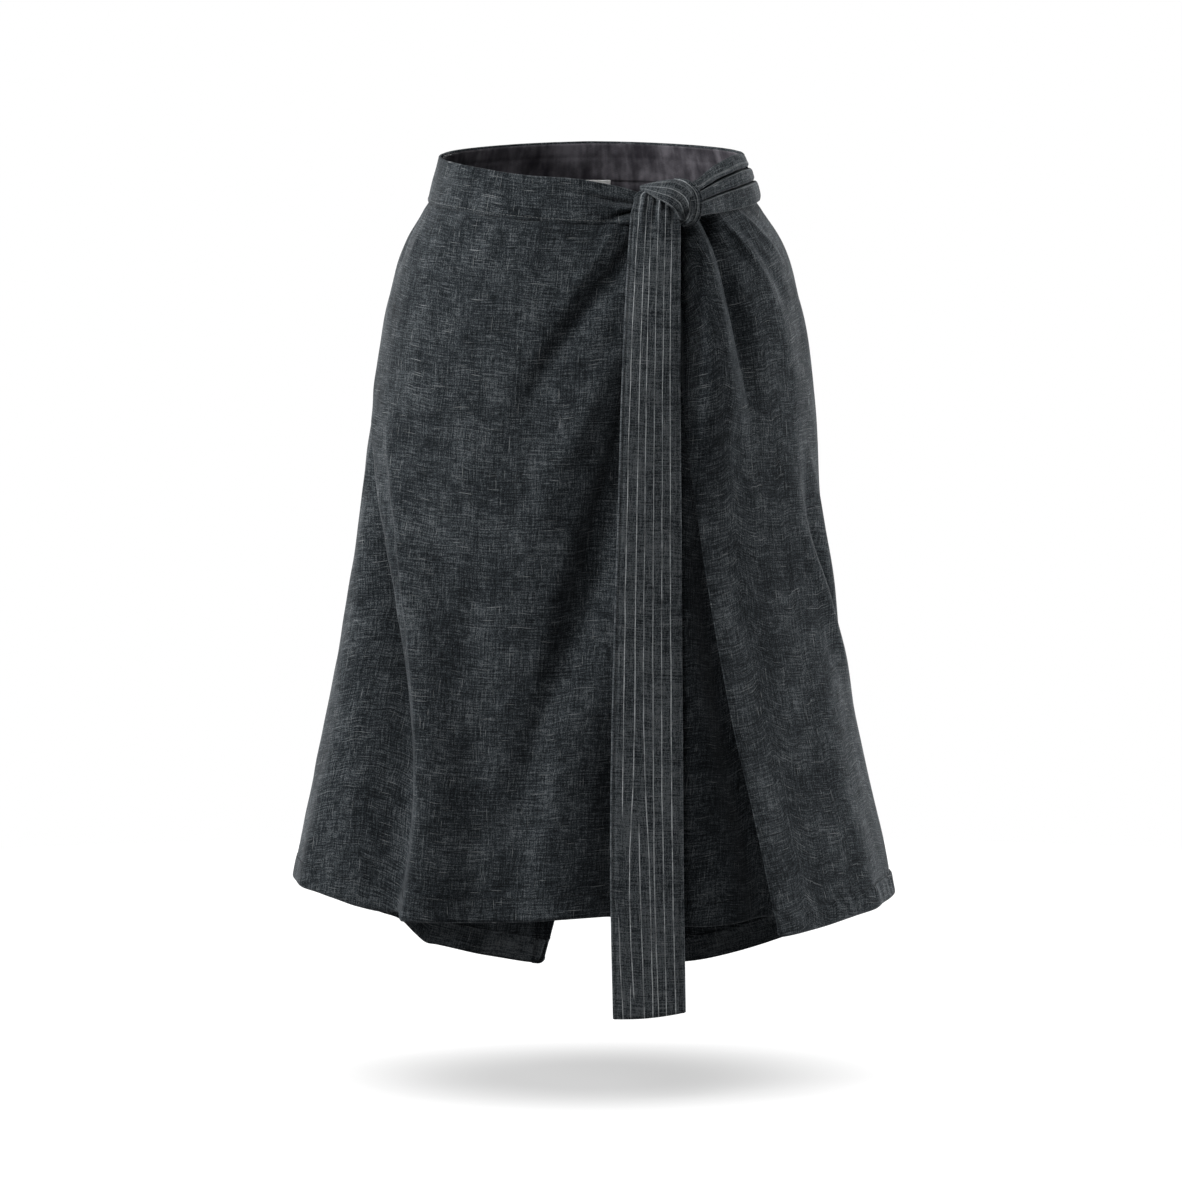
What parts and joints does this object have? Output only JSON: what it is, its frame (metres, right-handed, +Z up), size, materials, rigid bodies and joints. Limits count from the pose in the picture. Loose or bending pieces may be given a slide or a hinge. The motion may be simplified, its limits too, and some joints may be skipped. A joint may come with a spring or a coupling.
{
  "type": "tie-waist wrap skirt",
  "caption": "Knee-length flared wrap skirt with a contoured waistband, a knotted striped sash with a hanging tail, and a slit at the centre back.",
  "frame": {"origin": "middle of the waist opening, half way up the waistband, where a wearer's waist holds the skirt", "axes": "+Z up out of the waist, the front of the skirt faces -Y, +X towards the wearer's left, the side that the sash is knotted on"},
  "size_m": [0.487, 0.315, 0.6856],
  "materials": {
    "linen": "matt charcoal chambray with pale slubs",
    "sash": "matt charcoal chambray with thin white lines along it",
    "facing": "dark satin",
    "label": "plain white woven tape"
  },
  "bodies": {
    "root": {"front_right": "linen", "front_left": "linen", "back_right": "linen", "back_left": "linen", "waistband": "linen", "waist_facing": "facing", "sash_waist": "sash", "sash_knot": "sash", "sash_tail": "sash", "label": "label"}
  },
  "joints": []
}
